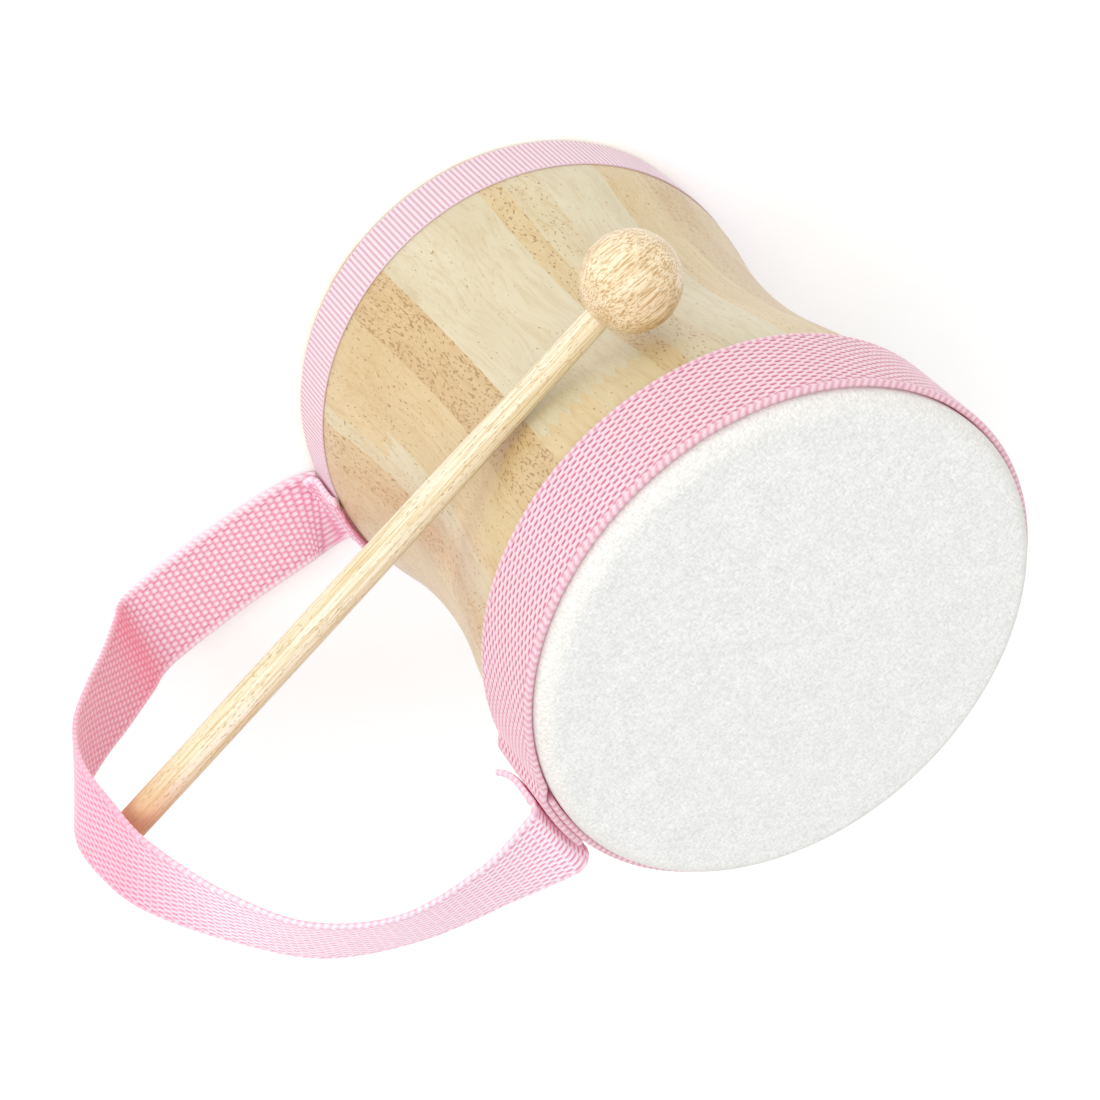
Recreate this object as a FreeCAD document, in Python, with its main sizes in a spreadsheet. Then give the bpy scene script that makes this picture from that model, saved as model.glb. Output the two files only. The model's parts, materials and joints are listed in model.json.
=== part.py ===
import FreeCAD, Part
import math
import os
import Sketcher

# Hand drum: a single-headed hourglass shell of glued staves, a woven band round
# the head, a ribbon round the foot, a strap handle and a ball-ended mallet.
# Millimetres. The drum stands on its open foot, its axis is +Z, the head is on
# top, and the handle reaches out along +X.

DIMENSIONS = (
    # shell
    ("shell_height", 152.1),
    ("end_radius", 64.0),
    ("waist_depth", 6.0),
    ("waist_height", 68.0),
    ("waist_share", 0.766),
    ("waist_wall", 7.0),
    ("foot_land", 17.5),
    ("head_land", 28.1),
    ("bore_break", 1.0),
    ("foot_round", 1.6),
    ("head_round", 2.7),
    ("stave_count", 12),
    ("stave_azimuth", -5.0),
    # skin
    ("skin_gauge", 1.1),
    ("skirt_depth", 24.8),
    # band and ribbon
    ("band_width", 24.5),
    ("band_gauge", 1.9),
    ("band_drop", 4.7),
    ("band_start_azimuth", -13.0),
    ("band_lap_angle", 15.0),
    ("ribbon_width", 15.4),
    ("ribbon_gauge", 0.5),
    ("ribbon_lift", 2.3),
    ("ribbon_start_azimuth", -15.0),
    ("ribbon_lap_angle", 15.0),
    ("ramp_angle", 9.0),
    ("lap_gap", 0.1),
    # handle strap
    ("strap_width", 25.0),
    ("strap_gauge", 1.3),
    ("strap_gap", 0.3),
    ("strap_bend", 4.0),
    ("strap_lift", 3.4),
    ("strap_pitch", 6.0),
    ("loop_span", 153.0),
    ("loop_tuck", 14.0),
    ("foot_tab_azimuth", -8.5),
    ("foot_tab_length", 15.0),
    ("head_tab_azimuth", -2.0),
    ("head_tab_length", 19.5),
    ("head_tab_curl", 4.5),
    # staples
    ("staple_crown", 10.0),
    ("staple_wire", 0.9),
    ("staple_gauge", 0.5),
    ("skin_staple_bite", 4.5),
    ("strap_staple_bite", 5.0),
    ("skin_staple_drop", 19.5),
    ("strap_staple_pitch", 6.0),
    # mallet
    ("ball_diameter", 24.0),
    ("shaft_diameter", 8.0),
    ("shaft_neck", 6.4),
    ("shaft_taper", 80.0),
    ("shaft_end_round", 1.0),
    ("ball_bore_depth", 13.0),
    ("mallet_length", 191.0),
    ("mallet_gap", 0.3),
    ("mallet_azimuth", -81.9),
    ("mallet_height_share", 0.637),
    ("mallet_tilt", 4.5),
    ("ball_reach", 40.3),
)

doc = FreeCAD.newDocument("hand_drum")
sheet = doc.addObject("Spreadsheet::Sheet", "dims")
for row, (alias, value) in enumerate(DIMENSIONS, start=1):
    sheet.set("A%d" % row, alias)
    sheet.set("B%d" % row, str(value))
    sheet.setAlias("B%d" % row, alias)
doc.recompute()


def size(alias):
    return float(sheet.get(alias))


def vector(x, y, z=0.0):
    return FreeCAD.Vector(x, y, z)


def polar(radius, azimuth, z=0.0):
    angle = math.radians(azimuth)
    return vector(radius * math.cos(angle), radius * math.sin(angle), z)


def turned(azimuth):
    return FreeCAD.Placement(vector(0, 0), FreeCAD.Rotation(vector(0, 0, 1), azimuth))


nodes = []


def node(obj, name):
    obj.Label = name
    nodes.append(obj)
    return obj


# Sketch helpers


def new_sketch(body, name):
    sketch = body.newObject("Sketcher::SketchObject", name)
    plane = [feature for feature in body.Origin.OriginFeatures if feature.Role == "XZ_Plane"][0]
    sketch.AttachmentSupport = [(plane, "")]
    sketch.MapMode = "FlatFace"
    return sketch


def bind(sketch, kind, refs, formula):
    value = float(sketch.evalExpression(formula))
    index = sketch.addConstraint(Sketcher.Constraint(kind, *refs, value))
    sketch.setExpression("Constraints[%d]" % index, formula)


def revolve(body, sketch, name):
    turn = body.newObject("PartDesign::Revolution", name)
    turn.Profile = sketch
    turn.ReferenceAxis = (sketch, ["V_Axis"])
    turn.Angle = 360
    sketch.Visibility = False
    return turn


def outline(sketch, points):
    """Closed run of straight lines through the points, joined end to end."""
    count = len(points)
    for i in range(count):
        sketch.addGeometry(Part.LineSegment(points[i], points[(i + 1) % count]))
    for i in range(count):
        sketch.addConstraint(Sketcher.Constraint("Coincident", i, 2, (i + 1) % count, 1))


def set_xy(sketch, geometry, end, x_formula, y_formula):
    """Place one end of a line by its distances from the sketch origin."""
    bind(sketch, "DistanceX", (-1, 1, geometry, end), x_formula)
    bind(sketch, "DistanceY", (-1, 1, geometry, end), y_formula)


# Shell staves
# The outside runs from a straight land at the foot through a shoulder arc, the
# hollow waist arc and another shoulder arc to the land that carries the head.


WAIST_RADIUS = "(dims.end_radius - dims.waist_depth)"
LOW_RISE = "(dims.waist_height - dims.foot_land)"
HIGH_RISE = "(dims.shell_height - dims.head_land - dims.waist_height)"
REACH = "(%s ^ 2 + dims.waist_depth ^ 2) / (2 * dims.waist_depth)"
WAIST_CURVE = "dims.waist_share * min(%s; %s)" % (REACH % LOW_RISE, REACH % HIGH_RISE)


def arcs_reach(height):
    """Sum of the radii of the waist arc and of the shoulder arc that ends at this height."""
    rise = size("waist_height") - height
    return (rise ** 2 + size("waist_depth") ** 2) / (2 * size("waist_depth"))


low_land = size("foot_land")
high_land = size("shell_height") - size("head_land")
waist_curve = size("waist_share") * min(arcs_reach(low_land), arcs_reach(high_land))
waist_centre = vector(size("end_radius") - size("waist_depth") + waist_curve, size("waist_height"))
bore_radius = size("end_radius") - size("waist_depth") - size("waist_wall")


def shoulder(height):
    """Centre, radius and meeting point with the waist of a shoulder arc."""
    radius = arcs_reach(height) - waist_curve
    centre = vector(size("end_radius") - radius, height)
    toward = (waist_centre - centre).normalize()
    return centre, radius, centre + toward * radius


def stave_profile(body):
    sketch = new_sketch(body, "stave_profile")
    outer = size("end_radius")
    inner = bore_radius
    top = size("shell_height")
    low_centre, low_radius, low_meet = shoulder(low_land)
    high_centre, high_radius, high_meet = shoulder(high_land)

    def angle(centre, point):
        return math.atan2(point.y - centre.y, point.x - centre.x) % (2 * math.pi)

    def arc(centre, radius, start, end):
        circle = Part.Circle(centre, vector(0, 0, 1), radius)
        return Part.ArcOfCircle(circle, angle(centre, start), angle(centre, end))

    foot, low, low_shoulder, waist, high_shoulder, high, rim, bore = range(8)
    sketch.addGeometry(Part.LineSegment(vector(inner, 0), vector(outer, 0)))
    sketch.addGeometry(Part.LineSegment(vector(outer, 0), vector(outer, low_land)))
    sketch.addGeometry(arc(low_centre, low_radius, vector(outer, low_land), low_meet))
    sketch.addGeometry(arc(waist_centre, waist_curve, high_meet, low_meet))
    start = angle(high_centre, high_meet) - 2 * math.pi
    circle = Part.Circle(high_centre, vector(0, 0, 1), high_radius)
    sketch.addGeometry(Part.ArcOfCircle(circle, start, 0.0))
    sketch.addGeometry(Part.LineSegment(vector(outer, high_land), vector(outer, top)))
    sketch.addGeometry(Part.LineSegment(vector(outer, top), vector(inner, top)))
    sketch.addGeometry(Part.LineSegment(vector(inner, top), vector(inner, 0)))

    sketch.addConstraint(Sketcher.Constraint("Coincident", foot, 2, low, 1))
    sketch.addConstraint(Sketcher.Constraint("Tangent", low, 2, low_shoulder, 1))
    sketch.addConstraint(Sketcher.Constraint("Tangent", low_shoulder, 2, waist, 2))
    sketch.addConstraint(Sketcher.Constraint("Tangent", waist, 1, high_shoulder, 1))
    sketch.addConstraint(Sketcher.Constraint("Tangent", high_shoulder, 2, high, 1))
    sketch.addConstraint(Sketcher.Constraint("Coincident", high, 2, rim, 1))
    sketch.addConstraint(Sketcher.Constraint("Coincident", rim, 2, bore, 1))
    sketch.addConstraint(Sketcher.Constraint("Coincident", bore, 2, foot, 1))
    sketch.addConstraint(Sketcher.Constraint("Horizontal", foot))
    sketch.addConstraint(Sketcher.Constraint("Vertical", low))
    sketch.addConstraint(Sketcher.Constraint("Vertical", high))
    sketch.addConstraint(Sketcher.Constraint("Horizontal", rim))
    sketch.addConstraint(Sketcher.Constraint("Vertical", bore))
    sketch.addConstraint(Sketcher.Constraint("PointOnObject", foot, 1, -1))
    bind(sketch, "DistanceX", (-1, 1, foot, 1), WAIST_RADIUS + " - dims.waist_wall")
    bind(sketch, "DistanceX", (-1, 1, foot, 2), "dims.end_radius")
    bind(sketch, "DistanceX", (-1, 1, high, 2), "dims.end_radius")
    bind(sketch, "DistanceY", (-1, 1, high, 2), "dims.shell_height")
    bind(sketch, "DistanceY", (-1, 1, low, 2), "dims.foot_land")
    bind(sketch, "DistanceY", (-1, 1, high, 1), "dims.shell_height - dims.head_land")
    bind(sketch, "Radius", (waist,), WAIST_CURVE)
    bind(sketch, "DistanceX", (-1, 1, waist, 3), WAIST_RADIUS + " + " + WAIST_CURVE)
    bind(sketch, "DistanceY", (-1, 1, waist, 3), "dims.waist_height")
    return sketch


def ring_edges(shape, radius, z):
    """Names of the round edges that lie at this radius and height."""
    near = size("skin_gauge")
    found = []
    for index, edge in enumerate(shape.Edges, start=1):
        middle = edge.valueAt((edge.FirstParameter + edge.LastParameter) / 2)
        level = edge.BoundBox.ZLength < near and abs(middle.z - z) < near
        on_ring = abs(math.hypot(middle.x, middle.y) - radius) < near
        if level and on_ring and "Circle" in edge.Curve.TypeId:
            found.append("Edge%d" % index)
    return found


def stave(index):
    body = doc.addObject("PartDesign::Body", "stave_blank_%02d" % index)
    sketch = stave_profile(body)
    turn = revolve(body, sketch, "stave_turning")
    turn.Midplane = True
    turn.setExpression("Angle", "360 / dims.stave_count")
    doc.recompute()
    rounding = body.newObject("PartDesign::Fillet", "bearing_edge")
    rounding.Base = (turn, ring_edges(turn.Shape, size("end_radius"), size("shell_height")))
    rounding.setExpression("Radius", "dims.head_round")
    doc.recompute()
    foot = body.newObject("PartDesign::Fillet", "foot_edge")
    foot.Base = (rounding, ring_edges(rounding.Shape, size("end_radius"), 0.0))
    foot.setExpression("Radius", "dims.foot_round")
    doc.recompute()
    inner = ring_edges(foot.Shape, bore_radius, 0.0)
    inner += ring_edges(foot.Shape, bore_radius, size("shell_height"))
    bore = body.newObject("PartDesign::Chamfer", "bore_edges")
    bore.Base = (foot, inner)
    bore.setExpression("Size", "dims.bore_break")
    body.Placement = turned(stave_angle(index))
    return body


def stave_angle(index):
    return size("stave_azimuth") + 360.0 / size("stave_count") * (index - 1)


# Staples
# Each is a flat crown and two legs. Its own X axis points out of the drum.


def staple(name, azimuth, outer, z, length):
    wire = size("staple_wire")
    crown = size("staple_crown")
    gauge = size("staple_gauge")
    bar = Part.makeBox(gauge, crown, wire, vector(outer - gauge, -crown / 2, -wire / 2))
    legs = []
    for side in (-crown / 2, crown / 2 - wire):
        corner = vector(outer - gauge - length, side, -wire / 2)
        legs.append(Part.makeBox(length, wire, wire, corner))
    shape = bar.multiFuse(legs).removeSplitter()
    obj = doc.addObject("Part::Feature", name)
    obj.Shape = shape
    place = turned(azimuth)
    place.Base = vector(0, 0, z)
    obj.Placement = place
    return obj


def group(name, parts):
    compound = doc.addObject("Part::Compound", name)
    compound.Links = parts
    return compound


def cut(name, base, tool):
    result = doc.addObject("Part::Cut", name + "_cut")
    result.Base = base
    result.Tool = tool
    return node(result, name)


skin_outer = size("end_radius") + size("skin_gauge")
crown_half = size("staple_crown") / 2
sunk = math.sqrt(skin_outer ** 2 - crown_half ** 2) - size("lap_gap")
skin_staple_z = size("shell_height") - size("skin_staple_drop")
skin_staples = []
for number in range(1, int(size("stave_count")) + 1):
    place_angle = stave_angle(number)
    tack = staple("skin_staple_%02d" % number, place_angle, sunk, skin_staple_z, size("skin_staple_bite"))
    skin_staples.append(tack)

# radii of the stacked layers
band_inner = skin_outer + size("lap_gap")
band_lap = band_inner + size("band_gauge") + size("lap_gap")
ribbon_inner = size("end_radius")
ribbon_lap = ribbon_inner + size("ribbon_gauge") + size("lap_gap")
head_tab_inner = band_lap + size("band_gauge") + size("strap_gap")
foot_tab_inner = ribbon_lap + size("ribbon_gauge") + size("strap_gap")
head_tab_outer = head_tab_inner + size("strap_gauge")
foot_tab_outer = foot_tab_inner + size("strap_gauge")
band_base = size("shell_height") + size("skin_gauge") - size("band_drop") - size("band_width")
head_bend_z = band_base + size("band_width") - size("strap_gauge")
foot_bend_z = size("strap_lift")


# the crowns are pressed into the webbing and stand out by this share of their gauge
CROWN_PROUD_SHARE = 0.3


def strap_staples(name, azimuth, outer, low_z):
    length = outer - size("end_radius") + size("strap_staple_bite")
    made = []
    for number in range(2):
        z = low_z + number * size("strap_staple_pitch")
        tag = "%s_%d" % (name, number + 1)
        made.append(staple(tag, azimuth, outer + CROWN_PROUD_SHARE * size("staple_gauge"), z, length))
    return made


head_low = head_bend_z - size("strap_bend") - size("strap_gauge") - size("strap_staple_pitch")
foot_low = foot_bend_z + size("strap_bend") + size("strap_gauge")
head_tacks = strap_staples("head_tack", size("head_tab_azimuth"), head_tab_outer, head_low)
foot_tacks = strap_staples("foot_tack", size("foot_tab_azimuth"), foot_tab_outer, foot_low)

node(group("skin_staple_group", skin_staples), "skin_staples")
node(group("strap_staple_head_group", head_tacks), "strap_staples_head")
node(group("strap_staple_foot_group", foot_tacks), "strap_staples_foot")

for number in range(1, int(size("stave_count")) + 1):
    tools = [skin_staples[number - 1]]
    if number == 1:
        tools += head_tacks + foot_tacks
    cut("stave_%02d" % number, stave(number), group("stave_holes_%02d" % number, tools))

# Drum head
# One skin lies flat on the rim, rolls over the bearing edge and ends in a skirt.


def drum_head():
    body = doc.addObject("PartDesign::Body", "skin_blank")
    sketch = new_sketch(body, "skin_profile")
    edge = size("end_radius")
    gauge = size("skin_gauge")
    top = size("shell_height")
    bend = size("head_round")
    low = top + gauge - size("skirt_depth")
    centre = vector(edge - bend, top - bend)
    outer = Part.Circle(centre, vector(0, 0, 1), bend + gauge)
    inner = Part.Circle(centre, vector(0, 0, 1), bend)
    face, roll, skirt, hem, lining, seat, under, axis = range(8)
    sketch.addGeometry(Part.LineSegment(vector(0, top + gauge), vector(edge - bend, top + gauge)))
    sketch.addGeometry(Part.ArcOfCircle(outer, 0.0, math.pi / 2))
    sketch.addGeometry(Part.LineSegment(vector(edge + gauge, top - bend), vector(edge + gauge, low)))
    sketch.addGeometry(Part.LineSegment(vector(edge + gauge, low), vector(edge, low)))
    sketch.addGeometry(Part.LineSegment(vector(edge, low), vector(edge, top - bend)))
    sketch.addGeometry(Part.ArcOfCircle(inner, 0.0, math.pi / 2))
    sketch.addGeometry(Part.LineSegment(vector(edge - bend, top), vector(0, top)))
    sketch.addGeometry(Part.LineSegment(vector(0, top), vector(0, top + gauge)))
    sketch.addConstraint(Sketcher.Constraint("Tangent", face, 2, roll, 2))
    sketch.addConstraint(Sketcher.Constraint("Tangent", roll, 1, skirt, 1))
    sketch.addConstraint(Sketcher.Constraint("Coincident", skirt, 2, hem, 1))
    sketch.addConstraint(Sketcher.Constraint("Coincident", hem, 2, lining, 1))
    sketch.addConstraint(Sketcher.Constraint("Tangent", lining, 2, seat, 1))
    sketch.addConstraint(Sketcher.Constraint("Tangent", seat, 2, under, 1))
    sketch.addConstraint(Sketcher.Constraint("Coincident", under, 2, axis, 1))
    sketch.addConstraint(Sketcher.Constraint("Coincident", axis, 2, face, 1))
    sketch.addConstraint(Sketcher.Constraint("Horizontal", face))
    sketch.addConstraint(Sketcher.Constraint("Vertical", skirt))
    sketch.addConstraint(Sketcher.Constraint("Horizontal", hem))
    sketch.addConstraint(Sketcher.Constraint("Vertical", lining))
    sketch.addConstraint(Sketcher.Constraint("Horizontal", under))
    sketch.addConstraint(Sketcher.Constraint("PointOnObject", axis, 1, -2))
    sketch.addConstraint(Sketcher.Constraint("PointOnObject", axis, 2, -2))
    sketch.addConstraint(Sketcher.Constraint("Coincident", roll, 3, seat, 3))
    bind(sketch, "Radius", (seat,), "dims.head_round")
    bind(sketch, "DistanceX", (-1, 1, lining, 1), "dims.end_radius")
    bind(sketch, "DistanceY", (-1, 1, axis, 1), "dims.shell_height")
    bind(sketch, "DistanceY", (-1, 1, axis, 2), "dims.shell_height + dims.skin_gauge")
    bind(sketch, "DistanceY", (-1, 1, hem, 1), "dims.shell_height + dims.skin_gauge - dims.skirt_depth")
    revolve(body, sketch, "skin_turning")
    return body


cut("drum_head", drum_head(), group("skin_holes", skin_staples + head_tacks))

# Band and ribbon
# Each goes once round, climbs a ramp and ends on top of its own beginning.
RAMP_CLEAR_SHARE = 0.1


def lapped_ring(name, inner, gauge, width, base, start, lap):
    lifted = inner + gauge + size("lap_gap")
    ramp = size("ramp_angle")
    ramp_end = start + 360.0 - RAMP_CLEAR_SHARE * ramp
    ramp_start = ramp_end - ramp
    end = start + 360.0 + lap

    def run(offset):
        low = inner + offset
        high = lifted + offset
        level = Part.Arc(
            polar(low, start, base),
            polar(low, (start + ramp_start) / 2, base),
            polar(low, ramp_start, base),
        )
        climb = Part.Arc(
            polar(low, ramp_start, base),
            polar((low + high) / 2, (ramp_start + ramp_end) / 2, base),
            polar(high, ramp_end, base),
        )
        over = Part.Arc(
            polar(high, ramp_end, base),
            polar(high, (ramp_end + end) / 2, base),
            polar(high, end, base),
        )
        return [level.toShape(), climb.toShape(), over.toShape()]

    near = run(0.0)
    far = run(gauge)
    first = Part.LineSegment(polar(inner, start, base), polar(inner + gauge, start, base))
    last = Part.LineSegment(polar(lifted, end, base), polar(lifted + gauge, end, base))
    edges = Part.sortEdges(near + [last.toShape()] + far + [first.toShape()])[0]
    obj = doc.addObject("Part::Feature", name)
    obj.Shape = Part.Face(Part.Wire(edges)).extrude(vector(0, 0, width))
    return obj


band = lapped_ring(
    "band_blank",
    band_inner,
    size("band_gauge"),
    size("band_width"),
    band_base,
    size("band_start_azimuth"),
    size("band_lap_angle"),
)
ribbon = lapped_ring(
    "ribbon_blank",
    ribbon_inner,
    size("ribbon_gauge"),
    size("ribbon_width"),
    size("ribbon_lift"),
    size("ribbon_start_azimuth"),
    size("ribbon_lap_angle"),
)
cut("head_band", band, group("band_holes", head_tacks))
cut("foot_ribbon", ribbon, group("ribbon_holes", foot_tacks))

# Handle strap
# The route of the strap's centre line round the loop, from the foot to the head:
# shares of the reach, of the lean to the mallet's side and of the shell's height.
LOOP_SHARES = (
    (0.13, 0.30, 0.032),
    (0.38, 0.42, 0.041),
    (0.62, 0.53, 0.062),
    (0.69, 0.58, 0.086),
    (0.72, 0.63, 0.126),
    (0.80, 0.73, 0.204),
    (0.88, 0.84, 0.280),
    (0.96, 0.93, 0.364),
    (1.00, 0.97, 0.461),
    (0.99, 0.93, 0.560),
    (0.96, 0.83, 0.653),
    (0.86, 0.61, 0.771),
    (0.72, 0.38, 0.872),
    (0.51, 0.19, 0.933),
    (0.26, 0.09, 0.961),
)
# how the strap's width lies at each of these points: turn and roll in degrees
LOOP_LAY = (
    (18, 13),
    (19, 14),
    (13, 13),
    (16, 12),
    (20, 10),
    (28, 6),
    (33, 1),
    (38, -2),
    (45, -3),
    (46, -5),
    (40, -9),
    (28, -17),
    (19, -23),
    (11, -26),
    (5, -17),
)


def blend(before, after, share):
    return before * (1 - share) + after * share


def lay(turn, roll):
    turn = math.radians(turn)
    roll = math.radians(roll)
    return vector(math.sin(turn) * math.cos(roll), math.cos(turn) * math.cos(roll), math.sin(roll))


def tab_run(radius, azimuth, start, end, spans):
    """Points down the straight part of a tab, cupped to the wall it lies on."""
    across = lay(-azimuth, 0)
    hug = 1 / (2 * radius)
    heights = [start + (end - start) * step / spans for step in range(spans + 1)]
    return [(polar(radius, azimuth, z), across, hug) for z in heights]


def strap_route():
    """Centre points, width directions and cupping of the strap."""
    half = size("strap_gauge") / 2
    bend = size("strap_bend")
    corner = bend * (1 - math.sqrt(0.5))

    foot = size("foot_tab_azimuth")
    across = lay(-foot, 0)
    radius = foot_tab_inner + half
    hug = 1 / (2 * radius)
    route = tab_run(radius, foot, foot_bend_z + size("foot_tab_length"), foot_bend_z + bend, 3)
    route.append((polar(radius + corner, foot, foot_bend_z + corner), across, hug / 2))
    route.append((polar(radius + bend, foot, foot_bend_z), across, 0.0))

    for (reach, lean, rise), (turn, roll) in zip(LOOP_SHARES, LOOP_LAY):
        x = blend(size("end_radius"), size("loop_span"), reach)
        y = -lean * (size("end_radius") - size("loop_tuck"))
        route.append((vector(x, y, rise * size("shell_height")), lay(turn, roll), 0.0))

    head = size("head_tab_azimuth")
    across = lay(-head, 0)
    radius = head_tab_inner + half
    hug = 1 / (2 * radius)
    low = head_bend_z - size("head_tab_length")
    curl = size("head_tab_curl")
    peel = math.degrees(math.asin(curl / size("strap_width")))
    route.append((polar(radius + bend, head, head_bend_z), across, 0.0))
    route.append((polar(radius + corner, head, head_bend_z - corner), across, hug / 2))
    route += tab_run(radius, head, head_bend_z - bend, low + 2 * curl, 3)
    route.append((polar(radius + curl / 8, head, low + curl), across, hug / 2))
    route.append((polar(radius + curl / 2, head, low), lay(-head - peel, 0), 0.0))
    return route


def strap_section(centre, tangent, across, hug):
    """A thin rectangle across the route, cupped to the drum where it lies on it."""
    across = (across - tangent * across.dot(tangent)).normalize()
    normal = across.cross(tangent)
    half = size("strap_width") / 2
    gauge = size("strap_gauge") / 2
    sag = size("lap_gap") / 4 + hug * half * half
    edges = []
    corners = []
    for side in (1, -1):
        offset = normal * (gauge * side)
        left = centre + offset - across * half + normal * sag
        right = centre + offset + across * half + normal * sag
        corners.append((left, right))
        edges.append(Part.Arc(left, centre + offset, right).toShape())
    ends = Part.LineSegment(corners[0][1], corners[1][1]).toShape()
    starts = Part.LineSegment(corners[1][0], corners[0][0]).toShape()
    return Part.Wire([edges[0], ends, edges[1].reversed(), starts])


def handle_strap():
    route = strap_route()
    spine = Part.BSplineCurve()
    spine.interpolate([place for place, across, hug in route])
    stations = [spine.parameter(place) for place, across, hug in route]
    sections = []
    for index in range(len(route) - 1):
        place, across, hug = route[index]
        place_after, across_after, hug_after = route[index + 1]
        steps = math.ceil((place_after - place).Length / size("strap_pitch"))
        last = index + 2 == len(route)
        for step in range(steps + last):
            share = step / steps
            station = blend(stations[index], stations[index + 1], share)
            tangent = vector(*spine.tangent(station)[0])
            width = blend(across, across_after, share)
            sections.append(strap_section(spine.value(station), tangent, width, blend(hug, hug_after, share)))
    obj = doc.addObject("Part::Feature", "strap_blank")
    obj.Shape = Part.makeLoft(sections, True, True)
    plain = spine.length() * size("strap_width") * size("strap_gauge")
    print("strap length %.1f, volume %.3f of a flat strip" % (spine.length(), obj.Shape.Volume / plain))
    return obj


cut("handle_strap", handle_strap(), group("strap_holes", head_tacks + foot_tacks))

# Mallet
# Its own Z axis runs from the centre of the ball down the shaft to the tail.


def shell_outside(z):
    """Outer radius of the shell from the waist up to its head."""
    centre, radius, meet = shoulder(high_land)
    if z < meet.y:
        return waist_centre.x - math.sqrt(waist_curve ** 2 - (z - waist_centre.y) ** 2)
    if z < high_land:
        return centre.x + math.sqrt(radius ** 2 - (z - centre.y) ** 2)
    return size("end_radius")


def mallet_placement():
    azimuth = size("mallet_azimuth")
    tilt = math.radians(size("mallet_tilt"))
    along = polar(1, azimuth + 90)
    shaft = vector(along.x * math.cos(tilt), along.y * math.cos(tilt), -math.sin(tilt))
    height = size("mallet_height_share") * size("shell_height")
    gap = size("mallet_gap")
    slope = math.atan2(shell_outside(height + gap) - shell_outside(height - gap), 2 * gap)
    apart = (size("shaft_diameter") / 2 + gap) / math.cos(slope)
    touch = polar(shell_outside(height) + apart, azimuth, height)
    return FreeCAD.Placement(touch - shaft * size("ball_reach"), FreeCAD.Rotation(vector(0, 0, 1), shaft))


def mallet_ball():
    body = doc.addObject("PartDesign::Body", "mallet_ball_body")
    sketch = new_sketch(body, "ball_profile")
    radius = size("ball_diameter") / 2
    neck = size("shaft_neck") / 2
    bottom = radius - size("ball_bore_depth")
    mouth = math.sqrt(radius ** 2 - neck ** 2)
    circle = Part.Circle(vector(0, 0), vector(0, 0, 1), radius)
    skin, axis, floor, wall = range(4)
    start = math.atan2(mouth, neck)
    sketch.addGeometry(Part.ArcOfCircle(circle, -math.pi / 2, start))
    sketch.addGeometry(Part.LineSegment(vector(0, -radius), vector(0, bottom)))
    sketch.addGeometry(Part.LineSegment(vector(0, bottom), vector(neck, bottom)))
    sketch.addGeometry(Part.LineSegment(vector(neck, bottom), vector(neck, mouth)))
    sketch.addConstraint(Sketcher.Constraint("Coincident", skin, 1, axis, 1))
    sketch.addConstraint(Sketcher.Constraint("Coincident", axis, 2, floor, 1))
    sketch.addConstraint(Sketcher.Constraint("Coincident", floor, 2, wall, 1))
    sketch.addConstraint(Sketcher.Constraint("Coincident", wall, 2, skin, 2))
    sketch.addConstraint(Sketcher.Constraint("Coincident", skin, 3, -1, 1))
    sketch.addConstraint(Sketcher.Constraint("PointOnObject", axis, 1, -2))
    sketch.addConstraint(Sketcher.Constraint("PointOnObject", axis, 2, -2))
    sketch.addConstraint(Sketcher.Constraint("Horizontal", floor))
    sketch.addConstraint(Sketcher.Constraint("Vertical", wall))
    bind(sketch, "Radius", (skin,), "dims.ball_diameter / 2")
    bind(sketch, "DistanceX", (-1, 1, wall, 1), "dims.shaft_neck / 2")
    bind(sketch, "DistanceY", (axis, 2, wall, 2), "sqrt(dims.ball_diameter ^ 2 - dims.shaft_neck ^ 2) / 2"
         " - dims.ball_diameter / 2 + dims.ball_bore_depth")
    revolve(body, sketch, "ball_turning")
    body.Placement = mallet_placement()
    return node(body, "mallet_ball")


def mallet_shaft():
    body = doc.addObject("PartDesign::Body", "mallet_shaft_body")
    sketch = new_sketch(body, "shaft_profile")
    ball = size("ball_diameter") / 2
    neck = size("shaft_neck") / 2
    radius = size("shaft_diameter") / 2
    plug = ball - size("ball_bore_depth")
    collar = ball
    full = collar + size("shaft_taper")
    tail = size("mallet_length") - ball
    trim = size("shaft_end_round")
    points = [
        vector(0, plug),
        vector(neck, plug),
        vector(neck, collar),
        vector(radius, full),
        vector(radius, tail - trim),
        vector(radius - trim, tail),
        vector(0, tail),
    ]
    outline(sketch, points)
    floor, socket, taper, barrel, edge, end, axis = range(7)
    sketch.addConstraint(Sketcher.Constraint("Horizontal", floor))
    sketch.addConstraint(Sketcher.Constraint("Vertical", socket))
    sketch.addConstraint(Sketcher.Constraint("Vertical", barrel))
    sketch.addConstraint(Sketcher.Constraint("Horizontal", end))
    sketch.addConstraint(Sketcher.Constraint("PointOnObject", axis, 1, -2))
    sketch.addConstraint(Sketcher.Constraint("PointOnObject", axis, 2, -2))
    half = "dims.ball_diameter / 2"
    reach = "dims.mallet_length - dims.ball_diameter / 2"
    bind(sketch, "DistanceX", (-1, 1, socket, 1), "dims.shaft_neck / 2")
    bind(sketch, "DistanceY", (socket, 1, socket, 2), "dims.ball_bore_depth")
    bind(sketch, "DistanceY", (-1, 1, socket, 2), half)
    set_xy(sketch, barrel, 1, "dims.shaft_diameter / 2", half + " + dims.shaft_taper")
    bind(sketch, "DistanceY", (-1, 1, barrel, 2), reach + " - dims.shaft_end_round")
    set_xy(sketch, end, 1, "dims.shaft_diameter / 2 - dims.shaft_end_round", reach)
    revolve(body, sketch, "shaft_turning")
    body.Placement = mallet_placement()
    return node(body, "mallet_shaft")


mallet_ball()
mallet_shaft()

doc.recompute()

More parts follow.
